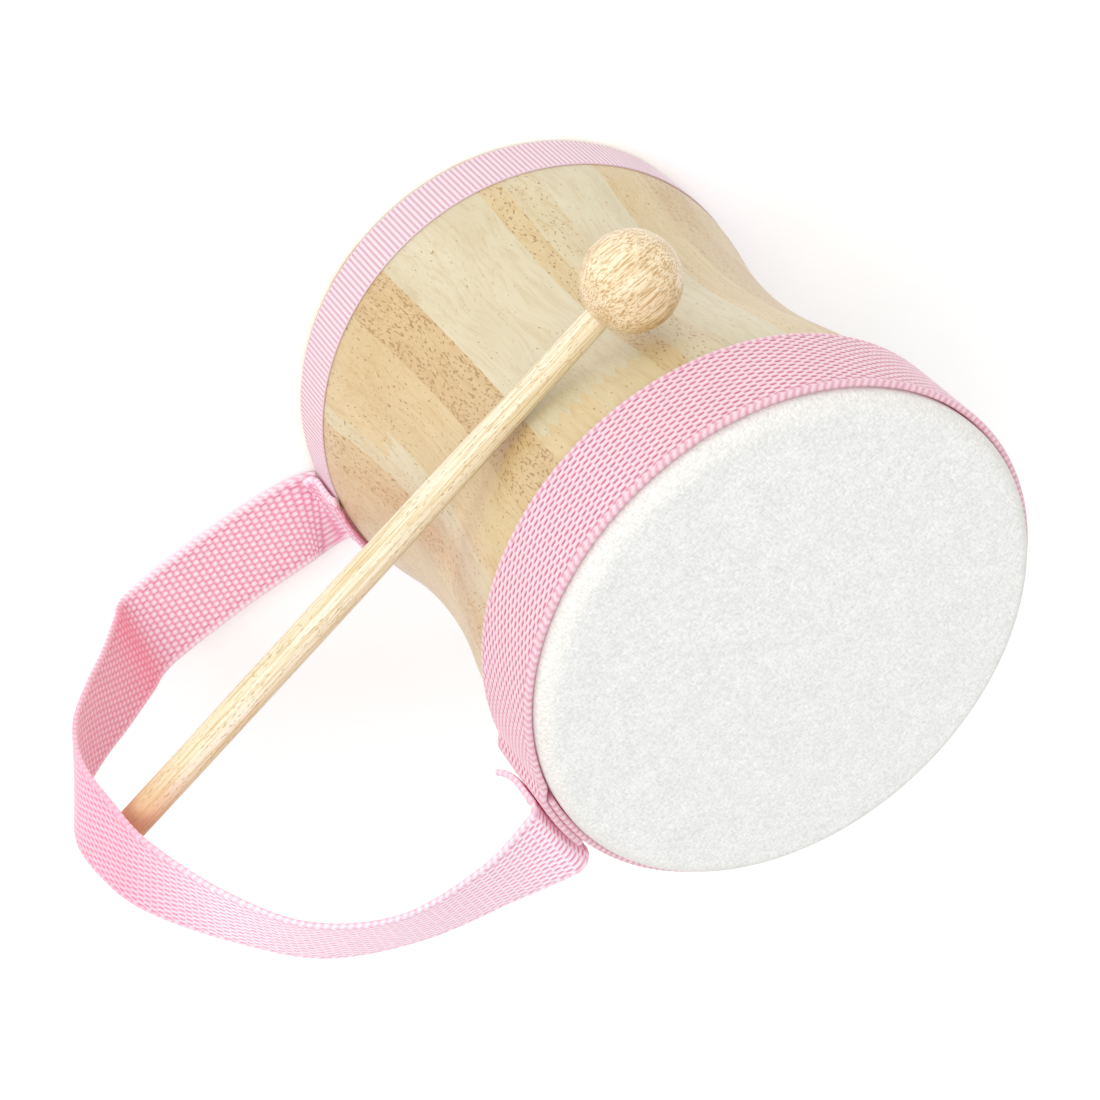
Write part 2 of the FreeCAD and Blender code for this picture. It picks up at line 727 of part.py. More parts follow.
# Check every object and write the parts
for obj in doc.Objects:
    states = [str(state) for state in obj.State]
    if "Invalid" in states or "Error" in states:
        raise RuntimeError("%s did not rebuild: %s" % (obj.Label, states))
for obj in nodes:
    if obj.Shape.isNull() or not obj.Shape.isValid():
        raise RuntimeError("%s has no valid shape" % obj.Label)
os.makedirs("parts", exist_ok=True)
for obj in nodes:
    obj.Shape.exportStep("parts/%s.step" % obj.Label)
    print("%-20s solids %d volume %.1f" % (obj.Label, len(obj.Shape.Solids), obj.Shape.Volume))
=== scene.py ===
import json
import math

import bmesh
import bpy
import numpy as np
from mathutils import Matrix, Vector


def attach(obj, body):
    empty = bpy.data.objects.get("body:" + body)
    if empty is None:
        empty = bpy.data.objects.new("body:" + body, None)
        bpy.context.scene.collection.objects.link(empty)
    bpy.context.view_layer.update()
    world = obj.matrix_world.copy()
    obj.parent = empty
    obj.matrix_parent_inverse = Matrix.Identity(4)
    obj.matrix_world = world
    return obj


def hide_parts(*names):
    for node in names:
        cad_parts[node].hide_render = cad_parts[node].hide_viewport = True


# Looks of the hand drum: stave shell, skin head, woven band, ribbed ribbon, strap
# handle and mallet. Metres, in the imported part's frame: the drum stands on its open
# foot with its axis along +Z, the handle reaches along +X.

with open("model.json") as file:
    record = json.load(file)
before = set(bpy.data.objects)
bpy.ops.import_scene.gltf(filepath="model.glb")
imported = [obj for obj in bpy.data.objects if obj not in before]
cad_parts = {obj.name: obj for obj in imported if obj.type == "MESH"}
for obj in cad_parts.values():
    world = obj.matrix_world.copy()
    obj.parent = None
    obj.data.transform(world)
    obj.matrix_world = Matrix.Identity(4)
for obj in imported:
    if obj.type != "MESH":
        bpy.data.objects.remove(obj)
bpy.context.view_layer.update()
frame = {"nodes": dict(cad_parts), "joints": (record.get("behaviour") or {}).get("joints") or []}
MM = 0.001

# Sizes repeated from the part, in millimetres

END_RADIUS = 64.0
SHELL_HEIGHT = 152.1
HEAD_ROUND = 2.7
SKIN_GAUGE = 1.1
SKIRT_DEPTH = 24.8
BAND_WIDTH = 24.5
BAND_GAUGE = 1.9
BAND_BASE = 124.0
RIBBON_WIDTH = 15.4
RIBBON_GAUGE = 0.5
RIBBON_BASE = 2.3
STRAP_WIDTH = 25.0
STRAP_GAUGE = 1.3
LAP_GAP = 0.1

# Laps of band and ribbon: where they begin, how far the ends lap, how long the step up
# lasts and how early it ends, in degrees, and how deep the band nests, in millimetres
BAND_START = -13.0
BAND_LAP = 15.0
RIBBON_START = -15.0
RIBBON_LAP = 15.0
LAP_RISE = 4.0
LAP_EARLY = 0.4
LAP_NEST = 0.25

# Weave of the webbing, in millimetres: a bump every second column and row, and a chain
# of leaning loops along each edge, which a seam divides from the body
COLUMN_PITCH = 1.94
ROW_PITCH = STRAP_WIDTH / 28
SELVAGE = 1.6
SEAM = 0.22
LOOP_LEAN = 1.9
WEAVE_RELIEF = 0.4
EDGE_ROUND = 0.6

# Shape of the bumps: how full they are, and the least height of a column and of a loop
LONG_POWER = 4.2
SQUARE_POWER = 0.5
COLUMN_LEAST = 0.3
LOOP_LEAST = 0.72
EDGE_THINNING = 0.45

# Ribs of the ribbon, in millimetres
RIB_PITCH = 1.41
RIB_RELIEF = 0.14
RIB_EDGE = 0.5

# The wanted spacing of vertices along and across a woven strip, and the number of points
# across a face that nothing shows
STEP_ALONG = COLUMN_PITCH / 6
STEP_ACROSS = 0.33
PLAIN_POINTS = 9


def polar(radius, azimuth, z):
    angle = math.radians(azimuth)
    return np.array([radius * math.cos(angle), radius * math.sin(angle), z])


def unit(v):
    return v / np.linalg.norm(v, axis=-1, keepdims=True)


def rise(value, start, length):
    """From 0 at the start to 1 a length further on."""
    return np.clip((value - start) / length, 0, 1)


def path_lengths(points):
    """Distance of each point from the first one, along the path."""
    steps = np.linalg.norm(np.diff(points, axis=0), axis=1)
    return np.concatenate([[0], np.cumsum(steps)])


def resampled(rows, along, wanted):
    """Rows of numbers read off between the given ones."""
    return np.stack([np.interp(wanted, along, column) for column in rows.T], axis=1)


# Mesh helpers


def grid_mesh(name, rings, lay=None, relief=None, painted_shade=None):
    """Capped mesh of equal closed rings of points, in millimetres.

    Its shader reads the lay, each point's place along and across a strip, the relief,
    its height on the weave, and the painted shade mask, its share of painted shade and glow."""
    count, around = rings.shape[:2]
    faces = []
    for i in range(count - 1):
        a = i * around
        b = a + around
        for j in range(around):
            k = (j + 1) % around
            faces.append((a + j, a + k, b + k, b + j))
    last = (count - 1) * around
    faces.append(tuple(reversed(range(around))))
    faces.append(tuple(range(last, last + around)))
    mesh = bpy.data.meshes.new(name)
    mesh.from_pydata((rings.reshape(-1, 3) * MM).tolist(), [], faces)
    for tag, values in (("relief", relief), ("painted_shade", painted_shade)):
        if values is not None:
            layer = mesh.attributes.new(tag, "FLOAT", "POINT")
            layer.data.foreach_set("value", values.reshape(-1).astype(np.float32))
    if lay is not None:
        layer = mesh.attributes.new("lay", "FLOAT_VECTOR", "POINT")
        flat = np.concatenate([lay.reshape(-1, 2), np.zeros((count * around, 1))], axis=1)
        layer.data.foreach_set("vector", flat.reshape(-1).astype(np.float32))
    mesh.shade_smooth()
    mesh.update()
    return linked(name, mesh)


def linked(name, data):
    obj = bpy.data.objects.new(name, data)
    bpy.context.scene.collection.objects.link(obj)
    return obj


def outward(obj):
    """Turn every face of a closed mesh outward."""
    bm = bmesh.new()
    bm.from_mesh(obj.data)
    bmesh.ops.recalc_face_normals(bm, faces=bm.faces)
    bm.to_mesh(obj.data)
    bm.free()


def smooth_curve(points, spacing, passes, between=40):
    """Evenly spaced points along a rounded curve through the given rows of numbers."""
    points = np.asarray(points, float)
    ends = np.vstack([2 * points[0] - points[1], points, 2 * points[-1] - points[-2]])
    dense = []
    for i in range(1, len(ends) - 2):
        p0, p1, p2, p3 = ends[i - 1 : i + 3]
        for t in np.linspace(0, 1, between, endpoint=False):
            dense.append(
                0.5 * ((2 * p1) + (p2 - p0) * t + (2 * p0 - 5 * p1 + 4 * p2 - p3) * t**2
                       + (3 * p1 - p0 - 3 * p2 + p3) * t**3)
            )
    dense.append(ends[-2])
    dense = np.array(dense)
    along = path_lengths(dense[:, :3])
    count = int(round(along[-1] / spacing)) + 1
    out = resampled(dense, along, np.linspace(0, along[-1], count))
    for _ in range(passes):
        inner = (out[:-2] + 2 * out[1:-1] + out[2:]) / 4
        out = np.vstack([out[:1], inner, out[-1:]])
    return out


# Weave


def long_bumps(along, across):
    """Bumps that are longer than wide and almost touch."""
    column = np.cos(math.pi * along / COLUMN_PITCH)
    row = np.cos(math.pi * across / ROW_PITCH)
    column = column / np.sqrt(column**2 + 0.12)
    return 1 - ((1 - column * row) / 2) ** LONG_POWER


def square_bumps(along, across):
    """Bumps two rows wide, set off by one row from column to column."""
    column = np.cos(math.pi * along / COLUMN_PITCH)
    shift = ROW_PITCH * (np.round(along / COLUMN_PITCH) % 2)
    row = np.cos(math.pi * (across - shift) / (2 * ROW_PITCH))
    column = COLUMN_LEAST + (1 - COLUMN_LEAST) * np.abs(column) ** 0.9
    return (column * np.abs(row) ** 0.7) ** SQUARE_POWER


def weave_height(along, across, width, bumps):
    """Height of the webbing's face from 0 in the gaps to 1 on the bumps."""
    body = bumps(along, across)
    edge = width / 2 - np.abs(across)
    lean = np.abs(edge - SELVAGE / 2) / LOOP_LEAN
    loops = 0.5 + 0.5 * np.cos(2 * math.pi * (along / COLUMN_PITCH - lean))
    loops = LOOP_LEAST + (1 - LOOP_LEAST) * loops**0.8
    seam = np.exp(-(((edge - SELVAGE) / SEAM) ** 2))
    dots = 0.5 + 0.5 * np.cos(2 * math.pi * (along / COLUMN_PITCH + 0.35))
    inner = rise(edge, SELVAGE - 0.2, 0.4)
    height = body * inner + loops * (1 - inner)
    return height * (1 - 0.5 * seam * dots**2)


def strip_rings(centre, across_way, normal, width, gauge, both, pads=(0.0, 0.0)):
    """Closed cross-sections of a woven strip along its centre line, with lay and relief.

    The first half of each ring runs over the face that the normal points to, with long
    bumps. Where both faces show, the other one has square bumps; otherwise it is plain.
    The pads thicken the two faces at each point of the line."""
    fine = np.linspace(-width / 2, width / 2, int(width / STEP_ACROSS) + 1)
    back = fine[::-1] if both else np.linspace(width / 2, -width / 2, PLAIN_POINTS)
    front = np.concatenate([np.ones(len(fine)), np.zeros(len(back))])
    places = np.concatenate([fine, back])
    along, across = np.meshgrid(path_lengths(centre), places, indexing="ij")
    height = weave_height(along, across, width, long_bumps)
    if both:
        height = np.where(front > 0, height, weave_height(along, across, width, square_bumps))
    near_edge = np.clip(1 - (width / 2 - np.abs(across)) / EDGE_ROUND, 0, 1)
    sunk = (1 - height) * WEAVE_RELIEF * (1 if both else front)
    depth = gauge / 2 * (1 - EDGE_THINNING * near_edge**2) - sunk
    for side, pad in zip((front, 1 - front), pads):
        depth = depth + side * np.broadcast_to(pad, len(centre))[:, None]
    offset = ((2 * front - 1) * depth)[..., None] * normal[:, None, :]
    rings = centre[:, None, :] + across[..., None] * across_way[:, None, :] + offset
    return rings, np.stack([along, across], axis=-1), height


# Materials


def material(name, roughness=0.6, **inputs):
    mat = bpy.data.materials.new(name)
    mat.use_nodes = True
    bsdf = mat.node_tree.nodes["Principled BSDF"]
    bsdf.inputs["Roughness"].default_value = roughness
    for key, value in inputs.items():
        bsdf.inputs[key.replace("_", " ")].default_value = value
    return mat, bsdf


class Nodes:
    """Short ways to add and join shader nodes of one material."""

    def __init__(self, mat):
        self.tree = mat.node_tree

    def add(self, kind, **settings):
        made = self.tree.nodes.new(kind)
        for key, value in settings.items():
            setattr(made, key, value)
        return made

    def join(self, source, target):
        self.tree.links.new(source, target)

    def feed(self, node, values):
        for key, value in values.items():
            if hasattr(value, "is_linked"):
                self.join(value, node.inputs[key])
            else:
                node.inputs[key].default_value = value
        return node

    def math(self, operation, a, b=0.0, c=0.0):
        made = self.add("ShaderNodeMath", operation=operation)
        return self.feed(made, {0: a, 1: b, 2: c}).outputs[0]

    def mix(self, share, a, b, blend="MIX"):
        made = self.add("ShaderNodeMix", data_type="RGBA", blend_type=blend)
        self.feed(made, {0: share, 6: a, 7: b})
        return made.outputs[2]

    def ramp(self, value, stops, interpolation="LINEAR"):
        made = self.add("ShaderNodeValToRGB")
        made.color_ramp.interpolation = interpolation
        elements = made.color_ramp.elements
        while len(elements) < len(stops):
            elements.new(0.5)
        for element, (place, colour) in zip(elements, stops):
            element.position = place
            element.color = colour
        self.join(value, made.inputs[0])
        return made.outputs[0]

    def within(self, value):
        return self.math("MINIMUM", self.math("MAXIMUM", value, 0.0), 1.0)

    def noise(self, vector, scale, detail=2.0, roughness=0.5, w=None):
        made = self.add("ShaderNodeTexNoise", noise_dimensions="3D" if w is None else "4D")
        self.feed(made, {"Vector": vector, "Scale": scale})
        self.feed(made, {"Detail": detail, "Roughness": roughness})
        if w is not None:
            self.feed(made, {"W": w})
        return made.outputs["Fac"]

    def stretched(self, vector, scale):
        made = self.add("ShaderNodeVectorMath", operation="MULTIPLY")
        return self.feed(made, {0: vector, 1: scale}).outputs[0]

    def grain(self, vector, scale, detail=2.0, roughness=0.5, w=None):
        """Noise with a scale of its own along each axis."""
        return self.noise(self.stretched(vector, scale), 1.0, detail, roughness, w)

    def split(self, vector):
        made = self.add("ShaderNodeSeparateXYZ")
        self.join(vector, made.inputs[0])
        return made.outputs

    def place(self):
        return self.add("ShaderNodeTexCoord").outputs["Object"]

    def attribute(self, name, output="Fac"):
        return self.add("ShaderNodeAttribute", attribute_name=name).outputs[output]

    def bump(self, height, strength, distance):
        made = self.add("ShaderNodeBump")
        self.feed(made, {"Height": height, "Strength": strength, "Distance": distance})
        return made.outputs["Normal"]


def grey(value):
    return (value, value, value, 1.0)


# How sharply a pore's colour sets in, and the depth of the fine relief, in metres
PORE_EDGE = 14.0
GRAIN_DEPTH = 0.0002


def pore_share(n, pores, least, most):
    """Share of the pores' colour where their noise rises past the least value."""
    past = n.math("SUBTRACT", pores, least)
    return n.math("MULTIPLY", n.within(n.math("MULTIPLY", past, PORE_EDGE)), most)


# Shell's wood
# Strips of the shell: the azimuth where each begins, its tone below the finger joint, the
# joint's height as a share of the shell, its tone above the joint, and how speckled it is

STRIPS = (
    (-180, 0.60, 0.30, 0.42, 0.5),
    (-165, 0.48, 0.85, 0.66, 0.8),
    (-152, 0.70, 0.10, 0.62, 0.4),
    (-140, 1.0, 0.95, 0.95, 0.2),
    (-124, 0.84, 0.05, 0.86, 0.6),
    (-116.5, 0.64, 0.701, 0.66, 0.75),
    (-110.6, 0.97, 0.700, 0.78, 0.15),
    (-96, 1.00, 0.702, 0.66, 0.25),
    (-82, 0.45, 0.70, 0.52, 1.0),
    (-69, 0.62, 0.96, 0.60, 0.5),
    (-52.3, 0.60, 0.30, 0.93, 0.45),
    (-47.6, 0.86, 0.97, 0.80, 0.55),
    (-42.3, 0.56, 0.97, 0.50, 0.85),
    (-33, 0.70, 0.92, 0.58, 0.5),
    (-20, 0.66, 0.45, 0.50, 0.6),
    (-6, 0.78, 0.75, 0.60, 0.3),
    (10, 0.52, 0.20, 0.70, 0.8),
    (24, 0.84, 0.60, 0.62, 0.3),
    (40, 0.60, 0.88, 0.44, 0.7),
    (57, 0.92, 0.35, 0.76, 0.2),
    (70, 0.56, 0.66, 0.64, 0.8),
    (84, 0.72, 0.12, 0.50, 0.5),
    (100, 0.46, 0.78, 0.88, 0.9),
    (115, 0.80, 0.50, 0.58, 0.3),
    (130, 0.64, 0.90, 0.72, 0.6),
    (146, 0.90, 0.25, 0.54, 0.2),
    (160, 0.54, 0.72, 0.68, 0.7),
)
# teeth of the finger joints: their width in metres, and their height as a share of it
FINGER_WIDTH = 0.0034
FINGER_STEEP = 2.9
# what sets the grain of one tone's strips apart from the next, and the grain's sway
BOARD_STEP = 37.0
SWAY = 9.0
# noises of the grain: scale round the shell, up it and into the wall, per millimetre,
# then detail and roughness
SHELL_WAVER = (0.05, 0.035, 0.05), 1.0, 0.5
SHELL_DRIFT = (0.11, 0.014, 0.11), 2.0, 0.5
SHELL_GRAIN = (0.75, 0.022, 0.75), 3.0, 0.6
SHELL_STREAK = (2.3, 0.07, 2.3), 2.0, 0.6
SHELL_PORES = (2.1, 0.75, 2.1), 0.0, 0.5
SHELL_CLUSTERS = (0.16, 0.035, 0.16), 2.0, 0.5
SHELL_GROUND = (
    (0.0, (0.48, 0.32, 0.145, 1)),
    (0.35, (0.575, 0.40, 0.20, 1)),
    (0.65, (0.645, 0.515, 0.29, 1)),
    (1.0, (0.635, 0.575, 0.405, 1)),
)
SHELL_PORE_BROWN = (0.34, 0.185, 0.06, 1)


def strip_tone(n, turn, z):
    """Tone of the strip here, below or above its finger joint, and its speckle."""
    share = n.math("MULTIPLY_ADD", turn, 1 / (2 * math.pi), 0.5)
    stops = [((azimuth + 180) / 360, rest) for azimuth, *rest in STRIPS]
    table = n.ramp(share, stops, "CONSTANT")
    parts = n.add("ShaderNodeSeparateColor")
    n.join(table, parts.inputs[0])
    low, joint, high = parts.outputs
    speckle = table.node.outputs["Alpha"]
    round_shell = n.math("MULTIPLY", turn, END_RADIUS * MM)
    teeth = n.math("PINGPONG", round_shell, FINGER_WIDTH / 2)
    joint_z = n.math("MULTIPLY", joint, SHELL_HEIGHT * MM)
    above = n.math("GREATER_THAN", z, n.math("MULTIPLY_ADD", teeth, FINGER_STEEP, joint_z))
    step = n.math("MULTIPLY", above, n.math("SUBTRACT", high, low))
    return n.math("ADD", step, low), speckle


def shell_lay(n, turn, z, reach, board):
    """Place round the shell, up it and into the wall, in millimetres, with some sway."""
    lay = n.add("ShaderNodeCombineXYZ")
    n.feed(lay, {0: n.math("MULTIPLY", turn, END_RADIUS)})
    n.feed(lay, {1: n.math("MULTIPLY", z, 1 / MM), 2: n.math("MULTIPLY", reach, 1 / MM)})
    waver = n.grain(lay.outputs[0], *SHELL_WAVER, board)
    sway = n.add("ShaderNodeCombineXYZ")
    n.feed(sway, {0: n.math("MULTIPLY_ADD", waver, SWAY, -SWAY / 2)})
    swayed = n.add("ShaderNodeVectorMath", operation="ADD")
    return n.feed(swayed, {0: lay.outputs[0], 1: sway.outputs[0]}).outputs[0]


def shell_wood():
    """Strips of pale wood with pores along the grain and finger joints between lengths."""
    mat, bsdf = material("shell_wood", roughness=0.42, Coat_Weight=0.35, Coat_Roughness=0.28)
    n = Nodes(mat)
    x, y, z = n.split(n.place())
    turn = n.math("ARCTAN2", y, x)
    reach = n.math("SQRT", n.math("MULTIPLY_ADD", x, x, n.math("MULTIPLY", y, y)))
    tone, speckle = strip_tone(n, turn, z)
    board = n.math("MULTIPLY", tone, BOARD_STEP)
    lay = shell_lay(n, turn, z, reach, board)
    drift, grain, streak, pores, clusters = [
        n.grain(lay, *noise, board)
        for noise in (SHELL_DRIFT, SHELL_GRAIN, SHELL_STREAK, SHELL_PORES, SHELL_CLUSTERS)
    ]
    shade = n.ramp(drift, ((0.3, (0.93, 0.88, 0.80, 1)), (0.66, (1.04, 1.04, 1.03, 1))))
    bands = n.ramp(grain, ((0.34, (0.88, 0.80, 0.66, 1)), (0.52, grey(1.0))))
    lines = n.ramp(streak, ((0.30, (0.86, 0.78, 0.64, 1)), (0.50, grey(1.0))))
    colour = n.mix(0.8, n.ramp(tone, SHELL_GROUND), shade, "MULTIPLY")
    colour = n.mix(0.6, colour, bands, "MULTIPLY")
    colour = n.mix(n.math("MULTIPLY_ADD", speckle, 0.55, 0.3), colour, lines, "MULTIPLY")
    least = n.math("MULTIPLY_ADD", speckle, -0.19, 0.865)
    pore = pore_share(n, pores, n.math("MULTIPLY_ADD", clusters, -0.16, least), 0.8)
    n.join(n.mix(pore, colour, SHELL_PORE_BROWN), bsdf.inputs["Base Color"])
    sunk = n.math("MULTIPLY_ADD", pore, -1.0, n.math("MULTIPLY", streak, 0.25))
    n.join(n.bump(sunk, 0.3, GRAIN_DEPTH), bsdf.inputs["Normal"])
    return mat


# Mallet's wood: colours of the ground and the lines, noise scales per metre across the
# rings, along them and along the fibre

SHAFT_GROUND = ((0.74, 0.60, 0.35, 1), (0.87, 0.80, 0.64, 1))
SHAFT_LINES = (0.78, 0.66, 0.44, 1)
SHAFT_SCALES = (1700, 1700, 40)
BALL_GROUND = ((0.74, 0.57, 0.33, 1), (0.87, 0.75, 0.52, 1))
BALL_LINES = (0.62, 0.42, 0.21, 1)
BALL_SCALES = (2600, 1500, 140)
TURNED_PORES = (3400, 3400, 650)
TURNED_CLUSTERS = (260, 260, 60)
TURNED_PORE_BROWN = (0.46, 0.28, 0.12, 1)
# painted shade with a warm painted bounce from the pink strap, on the shaft's tail under it
TAIL_PAINTED_SHADE = (0.64, 0.33, 0.13, 1)


def grain_place(n, fibre, across_rings):
    """Place with its third axis along the fibre and its first across the rings."""
    up = Vector(fibre).normalized()
    first = (Vector(across_rings) - up * up.dot(Vector(across_rings))).normalized()
    rotate = n.add("ShaderNodeVectorRotate", rotation_type="EULER_XYZ")
    n.join(n.place(), rotate.inputs["Vector"])
    rotate.inputs["Rotation"].default_value = Matrix((first, up.cross(first), up)).to_euler()
    return rotate.outputs[0]


def turned_wood(name, fibre, across_rings, ground, lines, scales, roughness, tail=None):
    """Wood of the mallet, with painted shade towards the tail where one is given."""
    mat, bsdf = material(name, roughness=roughness, Coat_Weight=0.2, Coat_Roughness=0.28)
    n = Nodes(mat)
    place = grain_place(n, fibre, across_rings)
    ring, depth, length = scales
    drift = n.grain(place, (ring / 10, depth / 6, length / 6))
    streak = n.grain(place, scales, 3.0, 0.65)
    pores = n.grain(place, TURNED_PORES, 0.0)
    clusters = n.grain(place, TURNED_CLUSTERS, 1.0)
    colour = n.ramp(drift, ((0.32, ground[0]), (0.62, ground[1])))
    streaks = n.ramp(streak, ((0.39, lines), (0.53, grey(1.0))))
    colour = n.mix(0.85, colour, streaks, "MULTIPLY")
    pore = pore_share(n, pores, n.math("MULTIPLY_ADD", clusters, -0.3, 0.83), 0.7)
    colour = n.mix(pore, colour, TURNED_PORE_BROWN)
    # painted shade towards the tail, where it lies under the strap
    if tail is not None:
        near = n.add("ShaderNodeMapRange", interpolation_type="SMOOTHSTEP")
        n.feed(near, {"Value": n.split(place)["Z"], "From Min": tail[0], "From Max": tail[1]})
        share = n.math("MULTIPLY", near.outputs[0], n.math("MULTIPLY_ADD", drift, 0.6, 0.4))
        colour = n.mix(share, colour, TAIL_PAINTED_SHADE)
    n.join(colour, bsdf.inputs["Base Color"])
    sunk = n.math("MULTIPLY_ADD", pore, -1.0, n.math("MULTIPLY", streak, 0.3))
    n.join(n.bump(sunk, 0.35, GRAIN_DEPTH), bsdf.inputs["Normal"])
    return mat


# Skin, yarn and steel: noise scales per metre on the skin and the steel, and per
# millimetre along and across the woven strips

NAP_SCALES = ((3300, 1000, 800), (1000, 3300, 800))
SCRATCH_SCALE = (400, 400, 6000)
YARN_SCALE = (1.1, 11.0, 1)
YARN_DRIFT = (0.35, 0.5, 1)
RIB_YARN_SCALE = (6.0, 1.2, 1)
# colours of the webbing in the gaps, on the bumps' sides and on top: painted shade in the
# gaps, the yarn's own pink on the sides, a painted highlight on top
BAND_YARN = ((0.29, 0.04, 0.10, 1), (0.57, 0.24, 0.33, 1), (0.745, 0.62, 0.665, 1))
STRAP_YARN = ((0.62, 0.15, 0.28, 1), (0.78, 0.42, 0.54, 1), (0.87, 0.84, 0.90, 1))
# colours of the ribbon from the hollows between its ribs to their crests: painted shade in the
# hollows, the ribbon's own pink between, a painted highlight on the crests
RIB_STOPS = (
    (0.0, (0.57, 0.31, 0.40, 1)),
    (0.45, (0.72, 0.52, 0.59, 1)),
    (1.0, (0.84, 0.72, 0.75, 1)),
)
# painted glow: all the webbing glows faintly deep pink in place of light through the yarn,
# so even its creases read pink; painted shade: where the strap's faces turn away from the
# light, a deeper pink tint and more of that painted glow
PAINTED_GLOW_COLOUR = (0.95, 0.05, 0.16, 1)
PAINTED_GLOW_STRENGTH = 0.10
PAINTED_SHADE_GLOW = 0.14
PAINTED_SHADE_TINT = (0.93, 0.62, 0.67, 1)


def skin_leather():
    """Pale suede-like skin with fine nap and a warm tint where it meets the band."""
    mat, bsdf = material("skin_leather", roughness=0.85, Sheen_Weight=0.1)
    n = Nodes(mat)
    place = n.place()
    one_way, other_way = [n.grain(place, scale, 2.0, 0.6) for scale in NAP_SCALES]
    nap = n.math("MULTIPLY", n.math("ADD", one_way, other_way), 0.5)
    mottle = n.noise(place, 130.0, 3.0, 0.55)
    ground = n.ramp(nap, ((0.34, (0.66, 0.665, 0.65, 1)), (0.64, (0.92, 0.92, 0.905, 1))))
    cloud = n.ramp(mottle, ((0.3, (0.955, 0.96, 0.955, 1)), (0.65, grey(1.0))))
    colour = n.mix(1.0, ground, cloud, "MULTIPLY")
    length = n.add("ShaderNodeVectorMath", operation="LENGTH")
    n.join(n.stretched(place, (1, 1, 0)), length.inputs[0])
    rim = n.math("MULTIPLY", length.outputs["Value"], 1 / (END_RADIUS * MM))
    tint = n.ramp(rim, ((0.95, grey(1.0)), (1.0, (0.985, 0.955, 0.925, 1))))
    n.join(n.mix(1.0, colour, tint, "MULTIPLY"), bsdf.inputs["Base Color"])
    n.join(n.bump(nap, 0.22, GRAIN_DEPTH), bsdf.inputs["Normal"])
    return mat


def webbing(name, gap, side, top):
    """Woven yarn: painted shade in the gaps, painted highlight on the bumps, fine filaments
    along it.
    """
    mat, bsdf = material(name, roughness=0.5, Sheen_Weight=0.3, Sheen_Roughness=0.4,
                         Emission_Color=PAINTED_GLOW_COLOUR)
    n = Nodes(mat)
    lay = n.attribute("lay", "Vector")
    painted_shade = n.attribute("painted_shade")
    yarn = n.grain(lay, YARN_SCALE, 2.0, 0.6)
    drift = n.grain(lay, YARN_DRIFT)
    # painted shade in the weave's gaps and painted highlight on its bumps, read from the relief
    colour = n.ramp(n.attribute("relief"), ((0.12, gap), (0.62, side), (0.98, top)))
    fine = n.ramp(yarn, ((0.33, (0.90, 0.80, 0.85, 1)), (0.62, grey(1.04))))
    colour = n.mix(0.6, colour, fine, "MULTIPLY")
    slow = n.ramp(drift, ((0.3, grey(0.95)), (0.7, grey(1.03))))
    colour = n.mix(0.8, colour, slow, "MULTIPLY")
    # painted shade: the mask deepens the pink and raises the painted glow where faces turn from
    # the light
    n.join(n.mix(painted_shade, colour, PAINTED_SHADE_TINT, "MULTIPLY"), bsdf.inputs["Base Color"])
    n.join(n.math("MULTIPLY_ADD", painted_shade, PAINTED_SHADE_GLOW, PAINTED_GLOW_STRENGTH), bsdf.inputs["Emission Strength"])
    n.join(n.bump(yarn, 0.35, 0.0001), bsdf.inputs["Normal"])
    return mat


def grosgrain():
    """Smooth ribbon with close ribs across it."""
    mat, bsdf = material("grosgrain", roughness=0.45, Sheen_Weight=0.3, Sheen_Roughness=0.3)
    n = Nodes(mat)
    yarn = n.grain(n.attribute("lay", "Vector"), RIB_YARN_SCALE, 2.0, 0.6)
    fine = n.ramp(yarn, ((0.3, (0.94, 0.88, 0.91, 1)), (0.7, grey(1.03))))
    colour = n.mix(0.6, n.ramp(n.attribute("relief"), RIB_STOPS), fine, "MULTIPLY")
    n.join(colour, bsdf.inputs["Base Color"])
    n.join(n.bump(yarn, 0.2, 0.00008), bsdf.inputs["Normal"])
    return mat


def staple_steel():
    """Bright wire with scratches along it."""
    mat, bsdf = material("staple_steel", roughness=0.32, Metallic=1.0)
    n = Nodes(mat)
    scratch = n.grain(n.place(), SCRATCH_SCALE)
    steel = n.ramp(scratch, ((0.3, (0.55, 0.55, 0.56, 1)), (0.7, (0.78, 0.78, 0.79, 1))))
    n.join(steel, bsdf.inputs["Base Color"])
    return mat


# Pieces

WELD_REACH = 0.01 * MM
EDGE_ANGLE = math.radians(25)


def dress(name, mat):
    """Give a CAD node a material, joined vertices and smooth shading between its edges."""
    obj = frame["nodes"][name]
    obj.data.materials.clear()
    obj.data.materials.append(mat)
    obj.data.shade_smooth()
    weld = obj.modifiers.new("weld", "WELD")
    weld.merge_threshold = WELD_REACH
    split = obj.modifiers.new("edges", "EDGE_SPLIT")
    split.split_angle = EDGE_ANGLE
    return obj


def new_piece(obj, mat, body, slot, *replaced):
    outward(obj)
    obj.data.materials.append(mat)
    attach(obj, body)
    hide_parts(*replaced)
    return obj


# Drum head

SKIN_TURNS = 288
FACE_RINGS = 70
FACE_CENTRE = 0.5
# how far the stretched face sags inside the rim, and the width over which it fades out
FACE_SAG = 0.12
SAG_FADE = 12.0


def bearing_roll(radius, degrees):
    """Points of a quarter round about the middle of the shell's bearing edge."""
    angles = np.radians(degrees)
    across = END_RADIUS - HEAD_ROUND + radius * np.cos(angles)
    up = SHELL_HEIGHT - HEAD_ROUND + radius * np.sin(angles)
    return list(zip(across, up))


